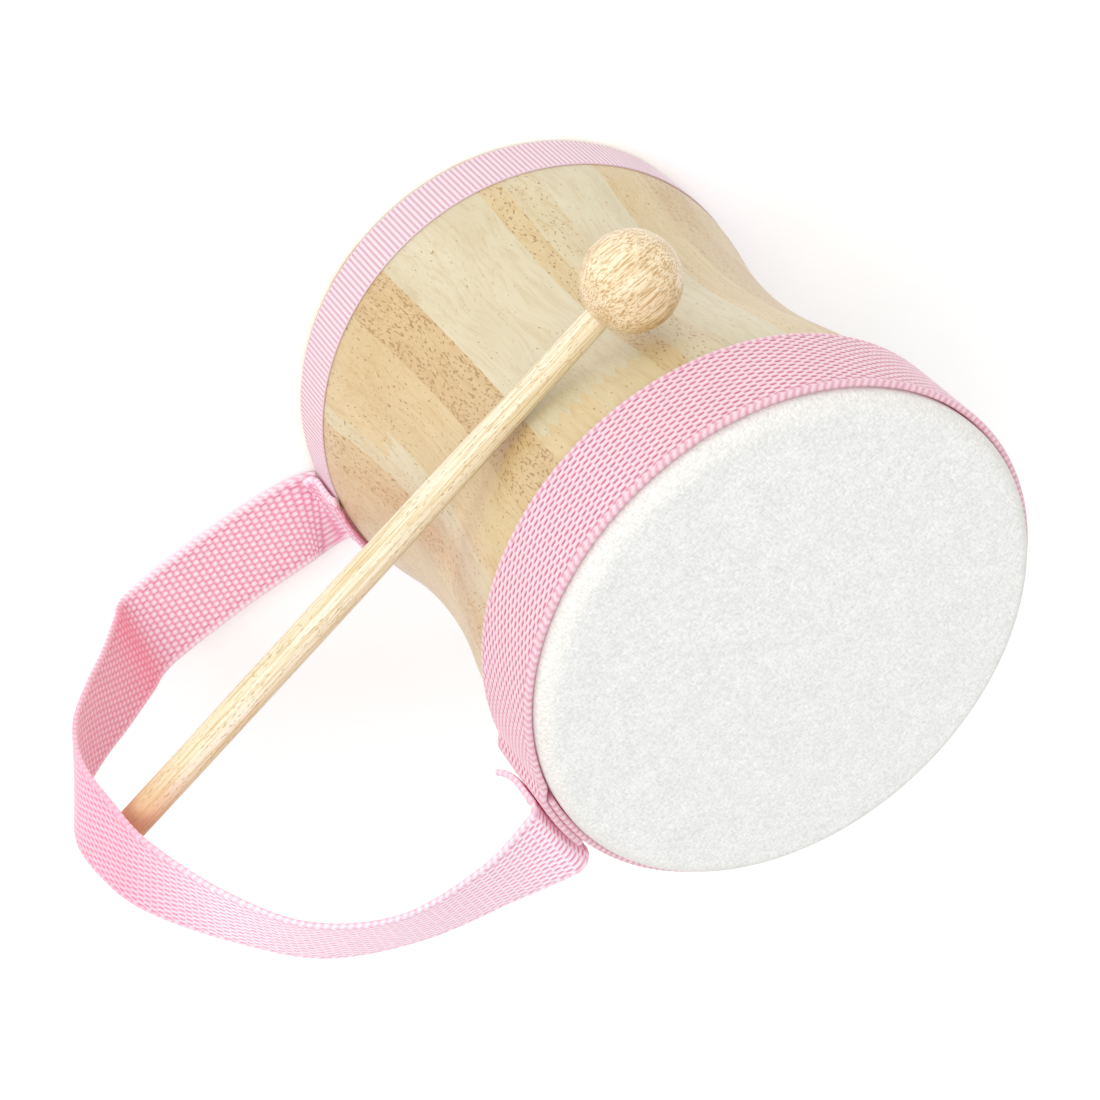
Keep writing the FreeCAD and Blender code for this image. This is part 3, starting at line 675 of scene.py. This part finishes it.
def skin_profile():
    """Half section of the skin: face, roll and skirt outside, then back up inside."""
    top = SHELL_HEIGHT + SKIN_GAUGE
    roll_top = SHELL_HEIGHT - HEAD_ROUND
    flat_end = END_RADIUS - HEAD_ROUND
    low = top - SKIRT_DEPTH
    profile = [(r, top) for r in np.linspace(FACE_CENTRE, flat_end, FACE_RINGS)]
    profile += bearing_roll(HEAD_ROUND + SKIN_GAUGE, np.linspace(90, 0, 12)[1:])
    profile += [(END_RADIUS + SKIN_GAUGE, z) for z in np.linspace(roll_top, low, 5)[1:]]
    profile += [(END_RADIUS, z) for z in np.linspace(low, roll_top, 5)]
    profile += bearing_roll(HEAD_ROUND, np.linspace(0, 90, 6)[1:])
    profile += [(r, SHELL_HEIGHT) for r in np.linspace(flat_end, FACE_CENTRE, 8)[1:]]
    return np.array(profile)


def drum_skin():
    """The stretched skin: flat face, soft roll over the rim and a skirt under the band."""
    radius, height = skin_profile().T
    turns = np.linspace(0, 2 * math.pi, SKIN_TURNS, endpoint=False)
    rings = np.stack([
        np.outer(radius, np.cos(turns)),
        np.outer(radius, np.sin(turns)),
        np.repeat(height[:, None], SKIN_TURNS, axis=1),
    ], axis=-1)
    # faint unevenness of a stretched skin, fading out at the rim
    x, y = rings[:FACE_RINGS, :, 0], rings[:FACE_RINGS, :, 1]
    fade = np.clip((END_RADIUS - HEAD_ROUND - np.hypot(x, y)) / SAG_FADE, 0, 1)
    wave = 0.05 * np.sin(x / 9 + 1.3) * np.cos(y / 11 - 0.4) + 0.03 * np.sin((x + 2 * y) / 6)
    rings[:FACE_RINGS, :, 2] += (wave - FACE_SAG) * fade
    return grid_mesh("drum_skin", rings)


# Band and ribbon


def lapped_line(radius, gauge, start, lap, z, nest=0.0):
    """Centre line round the shell that climbs a short ramp and nests in its beginning."""
    count = int(math.radians(360 + lap) * radius / STEP_ALONG)
    azimuth = np.linspace(start, start + 360 + lap, count)
    climb = rise(azimuth, start + 360 - LAP_EARLY - LAP_RISE, LAP_RISE)
    climb = climb * climb * (3 - 2 * climb)
    reach = radius + gauge / 2 + climb * (gauge - nest)
    angle = np.radians(azimuth)
    out = np.stack([np.cos(angle), np.sin(angle), np.zeros(count)], axis=1)
    centre = out * reach[:, None]
    centre[:, 2] = z
    across = np.tile([0.0, 0.0, 1.0], (count, 1))
    return centre, across, out


def head_band():
    """Thick webbing round the skin's skirt."""
    inner = END_RADIUS + SKIN_GAUGE + LAP_GAP
    middle = BAND_BASE + BAND_WIDTH / 2
    line = lapped_line(inner, BAND_GAUGE, BAND_START, BAND_LAP, middle, LAP_NEST)
    rings, lay, relief = strip_rings(*line, BAND_WIDTH, BAND_GAUGE, False)
    return grid_mesh("band_weave", rings, lay, relief)


def rib_height(along, across, width):
    rib = 0.5 + 0.5 * np.cos(2 * math.pi * along / RIB_PITCH)
    edge = np.clip((width / 2 - np.abs(across)) / RIB_EDGE, 0, 1)
    return rib**0.8 * edge + 0.6 * (1 - edge)


def foot_ribbon():
    """Thin ribbon with ribs standing across its width."""
    middle = RIBBON_BASE + RIBBON_WIDTH / 2
    line = lapped_line(END_RADIUS, RIBBON_GAUGE, RIBBON_START, RIBBON_LAP, middle)
    length = path_lengths(line[0])
    wanted = np.linspace(0, length[-1], int(length[-1] / (RIB_PITCH / 8)))
    centre, across_way, out = [resampled(rows, length, wanted) for rows in line]
    half = RIBBON_WIDTH / 2
    inner = np.linspace(RIB_EDGE - half, half - RIB_EDGE, 12)
    fine = np.concatenate([[-half, 0.15 - half], inner, [half - 0.15, half]])
    back = fine[::-5]
    side = np.concatenate([np.ones(len(fine)), -np.ones(len(back))])
    along, across = np.meshgrid(wanted, np.concatenate([fine, back]), indexing="ij")
    relief = rib_height(along, across, RIBBON_WIDTH)
    face = RIBBON_GAUGE / 2
    depth = np.where(side > 0, face - RIB_RELIEF + RIB_RELIEF * relief, face)
    offset = (side * depth)[..., None] * out[:, None, :]
    rings = centre[:, None, :] + across[..., None] * across_way[:, None, :] + offset
    return grid_mesh("ribbon_ribs", rings, np.stack([along, across], axis=-1), relief)


# Handle strap
# The strap's centre line from its foot tab round the loop to its head tab: place in
# millimetres, the turn and roll of its width in degrees, then how far it is cupped.

FOOT_TAB = -8.5
HEAD_TAB = -2.0
HEAD_TAB_LENGTH = 19.6
STRAP_BEND = 2.8
STRAP_PASSES = 14
FOOT_BEND_Z = 3.4
HEAD_BEND_Z = BAND_BASE + BAND_WIDTH - STRAP_GAUGE
RIBBON_TOP = RIBBON_BASE + RIBBON_WIDTH
STRAP_GAP = 0.3
FOOT_WALL = END_RADIUS + 2 * RIBBON_GAUGE + LAP_GAP + STRAP_GAP + STRAP_GAUGE / 2
HEAD_WALL = END_RADIUS + SKIN_GAUGE + 2 * BAND_GAUGE + 2 * LAP_GAP + STRAP_GAP + STRAP_GAUGE / 2
LOOP = (
    (75.6, -15.0, 4.9, 18, 13),
    (97.8, -21.0, 6.2, 19, 14),
    (119.2, -26.5, 9.4, 13, 13),
    (125.4, -29.0, 13.1, 16, 12),
    (128.1, -31.5, 19.2, 20, 10),
    (135.2, -36.5, 31.0, 28, 6),
    (142.3, -42.0, 42.6, 33, 1),
    (149.4, -46.5, 55.4, 38, -2),
    (153.0, -48.5, 70.1, 45, -3),
    (152.1, -46.5, 85.2, 46, -5),
    (149.4, -41.5, 99.3, 40, -9),
    (140.5, -30.5, 117.3, 28, -17),
    (128.1, -19.0, 132.6, 19, -23),
    (109.4, -9.5, 141.9, 11, -26),
    (87.1, -4.5, 146.2, 5, -17),
)
# how much thicker the tabs are on the wall's side, and outside at the foot and the head
TAB_PAD = 0.26
FOOT_PAD = 0.2
HEAD_PAD = 0.08
# the head tab's lower corner: where its curl starts, the way across it, off the band,
# and how tightly it bends per millimetre
CURL_FROM = np.array([0.0, -11.0, 133.0])
CURL_WAY = np.array([0.0, -0.713, -0.701])
CURL_OFF = np.array([1.0, 0.0, 0.0])
CURL_BEND = 0.15
# where the strap gets painted shade, a deeper pink tint with more painted glow, by the
# distance along it in millimetres: all the inside past the lower fold, most of all near the
# fold, and the outside round the loop's far end
INSIDE_PAINTED_SHADE = 0.5
INSIDE_FROM = 76.0
INSIDE_RISE = 7.0
FOLD_PAINTED_SHADE = 0.45
FOLD_PLACE = 84.0
FOLD_SPREAD = 8.0
OUTSIDE_FROM = 100.0
OUTSIDE_RISE = 22.0
OUTSIDE_TO = 200.0
OUTSIDE_FALL = 30.0


def strap_rows():
    """Rows of numbers along the strap, from the foot tab's end to the head tab's end."""
    corner = STRAP_BEND * (1 - math.sqrt(0.5))
    foot_tab = (
        (FOOT_WALL - 1.0, RIBBON_TOP + 1.4, 1),
        (FOOT_WALL - 0.3, RIBBON_TOP + 0.2, 1),
        (FOOT_WALL, 15.5, 1),
        (FOOT_WALL, 10.0, 1),
        (FOOT_WALL, FOOT_BEND_Z + STRAP_BEND, 1),
        (FOOT_WALL + corner, FOOT_BEND_Z + corner, 0.5),
        (FOOT_WALL + STRAP_BEND, FOOT_BEND_Z, 0),
    )
    head_tab = (
        (HEAD_WALL + STRAP_BEND, HEAD_BEND_Z, 0),
        (HEAD_WALL + corner, HEAD_BEND_Z - corner, 0.5),
        (HEAD_WALL, HEAD_BEND_Z - STRAP_BEND, 1),
        (HEAD_WALL, HEAD_BEND_Z - STRAP_BEND - 3.0, 1),
        (HEAD_WALL, HEAD_BEND_Z - STRAP_BEND - 6.0, 1),
        (HEAD_WALL, HEAD_BEND_Z - 12.0, 1),
        (HEAD_WALL, HEAD_BEND_Z - 15.5, 1),
        (HEAD_WALL, HEAD_BEND_Z - HEAD_TAB_LENGTH, 1),
    )
    rows = [(*polar(radius, FOOT_TAB, z), -FOOT_TAB, 0, cup) for radius, z, cup in foot_tab]
    rows += [(*row, 0) for row in LOOP]
    rows += [(*polar(radius, HEAD_TAB, z), -HEAD_TAB, 0, cup) for radius, z, cup in head_tab]
    return rows


def curl_corner(surface, offset, lay):
    """Curl the head tab's lower corner off the band, about a slanting line."""
    on_tab = lay[..., 0] > lay[-1, 0, 0] - HEAD_TAB_LENGTH
    past = np.where(on_tab, np.clip((surface - CURL_FROM) @ CURL_WAY, 0, None), 0)
    angle = past * CURL_BEND
    onward = (np.sin(angle) / CURL_BEND - past)[..., None]
    lift = ((1 - np.cos(angle)) / CURL_BEND)[..., None]
    depth = offset[..., :1]
    way = (np.cos(angle) - 1)[..., None] * CURL_OFF - np.sin(angle)[..., None] * CURL_WAY
    return surface + offset + onward * CURL_WAY + lift * CURL_OFF + depth * way


def strap_painted_shade(lay):
    """Share of painted shade and painted glow at each point: the outside first, then the inside.
    """
    along = lay[..., 0]
    fold = np.exp(-(((along - FOLD_PLACE) / FOLD_SPREAD) ** 2))
    inside = INSIDE_PAINTED_SHADE * rise(along, INSIDE_FROM, INSIDE_RISE) + FOLD_PAINTED_SHADE * fold
    outside = rise(along, OUTSIDE_FROM, OUTSIDE_RISE)
    outside = outside * np.clip((OUTSIDE_TO - along) / OUTSIDE_FALL, 0, 1)
    half = lay.shape[1] // 2
    return np.concatenate([outside[:, :half], inside[:, half:]], axis=1)


def handle_strap():
    """The strap with both faces woven, its tabs cupped round the drum."""
    line = smooth_curve(strap_rows(), STEP_ALONG, STRAP_PASSES)
    centre = line[:, :3]
    turn, roll = np.radians(line[:, 3:5]).T
    level = np.cos(roll)
    across = np.stack([np.sin(turn) * level, np.cos(turn) * level, np.sin(roll)], axis=1)
    tangent = unit(np.gradient(centre, axis=0))
    across = unit(across - tangent * np.sum(across * tangent, axis=1, keepdims=True))
    wallward = np.cross(across, tangent)
    cupped = line[:, 5]
    on_tab = np.minimum(cupped, 1.0)
    outer_pad = np.where(centre[:, 2] < SHELL_HEIGHT / 2, FOOT_PAD, HEAD_PAD)
    pads = (on_tab * TAB_PAD, on_tab * outer_pad)
    rings, lay, relief = strip_rings(
        centre, across, wallward, STRAP_WIDTH, STRAP_GAUGE, True, pads
    )
    flat = centre[:, None, :] + lay[..., 1:] * across[:, None, :]
    cup = cupped[:, None] / (2 * FOOT_WALL) * lay[..., 1] ** 2
    surface = flat + cup[..., None] * wallward[:, None, :]
    rings = curl_corner(surface, rings - flat, lay)
    return grid_mesh("strap_weave", rings, lay, relief, strap_painted_shade(lay))


# Camera
# The picture's place, aim and turn, which the ball's grain follows too

CAMERA_PLACE = Vector((0.0, -0.41017, 0.52949))
CAMERA_AIM = Vector((0.028155, 0.0, 0.068685))
CAMERA_ROLL = math.radians(139.156)
LENS_MM = 78.545
SENSOR_MM = 36.0


def camera_axes():
    ahead = (CAMERA_AIM - CAMERA_PLACE).normalized()
    level = ahead.cross(Vector((0, 0, 1))).normalized()
    above = level.cross(ahead)
    c, s = math.cos(CAMERA_ROLL), math.sin(CAMERA_ROLL)
    return level * c + above * s, above * c - level * s, ahead


def make_camera():
    right, top, ahead = camera_axes()
    data = bpy.data.cameras.new("camera")
    data.lens = LENS_MM
    data.sensor_width = SENSOR_MM
    data.clip_start = 0.01
    data.clip_end = 20.0
    obj = linked("camera", data)
    turn = Matrix((right, top, -ahead)).transposed().to_4x4()
    obj.matrix_world = Matrix.Translation(CAMERA_PLACE) @ turn
    bpy.context.scene.camera = obj


# Mallet

# painted shade on the shaft's tail, from and to these shares of the tail end's place on the axis
TAIL_SHADE_FROM = 0.80
TAIL_SHADE_FULL = 0.99


def dress_mallet():
    """Shaft with its grain along the mallet's axis, ball with its grain across the view."""
    axis = Vector(frame["joints"][0]["axis"]).normalized()
    vertices = frame["nodes"]["mallet_shaft"].data.vertices
    tail_end = max((axis.dot(v.co) for v in vertices), key=abs)
    tail = (tail_end * TAIL_SHADE_FROM, tail_end * TAIL_SHADE_FULL)
    dress("mallet_shaft", turned_wood(
        "shaft_wood", axis, (0, 0, 1), SHAFT_GROUND, SHAFT_LINES, SHAFT_SCALES, 0.5, tail
    ))
    right, top, ahead = camera_axes()
    fibre = right * 0.75 + top * 0.65
    across_rings = right * 0.6 - top * 0.75 + ahead * 0.25
    dress("mallet_ball", turned_wood(
        "ball_wood", fibre, across_rings, BALL_GROUND, BALL_LINES, BALL_SCALES, 0.30
    ))


# Light and floor

FLOOR_HALF = 6.0
FLOOR_DROP = 0.2 * MM
FLOOR_GLOW = 0.14
WORLD_LIGHT = 0.72
# lamps: the way towards them, distance and size in metres, and power in watts
KEY_LAMP = ((0.25, -0.72, 0.75), 3.0, 2.0, 43.0)
FILL_LAMP = ((-0.4, -0.4, 0.9), 3.0, 2.6, 8.0)


def area_light(name, towards, distance, size, power):
    """Soft lamp that looks at the drum from a direction."""
    data = bpy.data.lights.new(name, "AREA")
    data.shape = "DISK"
    data.size = size
    data.energy = power
    away = Vector(towards).normalized()
    turn = away.to_track_quat("Z", "Y").to_matrix().to_4x4()
    linked(name, data).matrix_world = Matrix.Translation(CAMERA_AIM + away * distance) @ turn


def make_floor():
    mat, bsdf = material("pale_floor", roughness=0.9, Emission_Color=grey(1.0),
                         Emission_Strength=FLOOR_GLOW)
    n = Nodes(mat)
    cloud = n.noise(n.place(), 30.0)
    n.join(n.ramp(cloud, ((0.3, grey(0.96)), (0.7, grey(0.98)))), bsdf.inputs["Base Color"])
    corners = ((-1, -1), (1, -1), (1, 1), (-1, 1))
    mesh = bpy.data.meshes.new("floor")
    mesh.from_pydata([(x * FLOOR_HALF, y * FLOOR_HALF, -FLOOR_DROP) for x, y in corners],
                     [], [(0, 1, 2, 3)])
    mesh.materials.append(mat)
    floor = linked("floor", mesh)


def make_light():
    world = bpy.data.worlds.new("studio")
    bpy.context.scene.world = world
    world.use_nodes = True
    background = world.node_tree.nodes["Background"]
    background.inputs["Color"].default_value = grey(1.0)
    background.inputs["Strength"].default_value = WORLD_LIGHT
    area_light("key", *KEY_LAMP)
    area_light("fill", *FILL_LAMP)


# Build and dress the pieces

wood = shell_wood()
for number in range(1, 13):
    dress("stave_%02d" % number, wood)
dress_mallet()
steel = staple_steel()
for name in ("skin_staples", "strap_staples_head", "strap_staples_foot"):
    dress(name, steel)
pink_band = webbing("band_webbing", *BAND_YARN)
pink_strap = webbing("strap_webbing", *STRAP_YARN)
new_piece(drum_skin(), skin_leather(), "drum", "drum_skin", "drum_head")
new_piece(head_band(), pink_band, "drum", "band_webbing", "head_band")
new_piece(foot_ribbon(), grosgrain(), "drum", "ribbon_grosgrain", "foot_ribbon")
new_piece(handle_strap(), pink_strap, "drum", "strap_webbing", "handle_strap")

make_camera()
make_floor()
make_light()
bpy.context.scene.view_settings.view_transform = "Standard"
